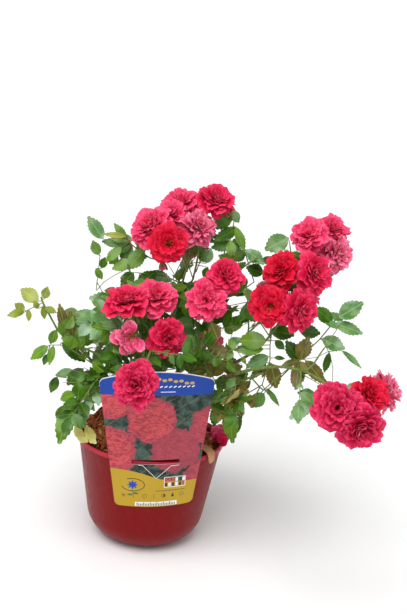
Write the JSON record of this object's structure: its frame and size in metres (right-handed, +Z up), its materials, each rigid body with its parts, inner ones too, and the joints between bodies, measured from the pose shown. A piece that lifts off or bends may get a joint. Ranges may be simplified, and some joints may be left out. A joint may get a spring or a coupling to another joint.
{
  "type": "potted rose bush",
  "caption": "Young shrub rose with double crimson blooms and pinnate leaves, in a round tapered plastic pot with bark mulch and a picture label hooked on the rim.",
  "frame": {"origin": "middle of the pot's flat underside, on the floor", "axes": "+Z up through the pot's axis; -Y is the front, where the label hangs; +X is to the right seen from the front"},
  "size_m": [0.4796, 0.4153, 0.4839],
  "materials": {
    "pot": "injection-moulded red polypropylene with a light film of dust, rim slightly shinier",
    "bark": "shredded brown bark mulch over potting mix",
    "card": "printed plastic card, blue and yellow, satin varnish",
    "old_wood": "rough grey-brown old wood at the crown and the root flare",
    "cane": "young green cane, smooth bark with prickles",
    "foliage": "glossy mid-green leaflets, some flushed bronze, and velvety crimson petals"
  },
  "bodies": {
    "root": {"pot": "pot", "substrate": "bark", "label": "card", "crown": "old_wood", "cane_top": "cane", "cane_centre": "cane", "cane_left": "cane", "cane_front": "cane", "cane_right_high": "cane", "cane_right_low": "cane", "cane_right_mid": "cane", "cane_low_right": "cane", "cane_front_right": "cane", "cane_left_arm": "cane", "cane_upper_left": "cane", "cane_low_left": "cane", "cane_upper_right": "cane", "cane_back_left": "cane", "cane_back_right": "cane", "cane_back": "cane", "cane_back_top": "cane", "mass_top": "foliage", "mass_centre": "foliage", "mass_left": "foliage", "mass_front": "foliage", "mass_right_high": "foliage", "mass_right_low": "foliage", "mass_right_mid": "foliage", "mass_low_right": "foliage", "mass_front_right": "foliage", "mass_left_arm": "foliage", "mass_upper_left": "foliage", "mass_low_left": "foliage", "mass_upper_right": "foliage", "mass_back_left": "foliage", "mass_back_right": "foliage", "mass_back": "foliage", "mass_back_top": "foliage"}
  },
  "joints": []
}
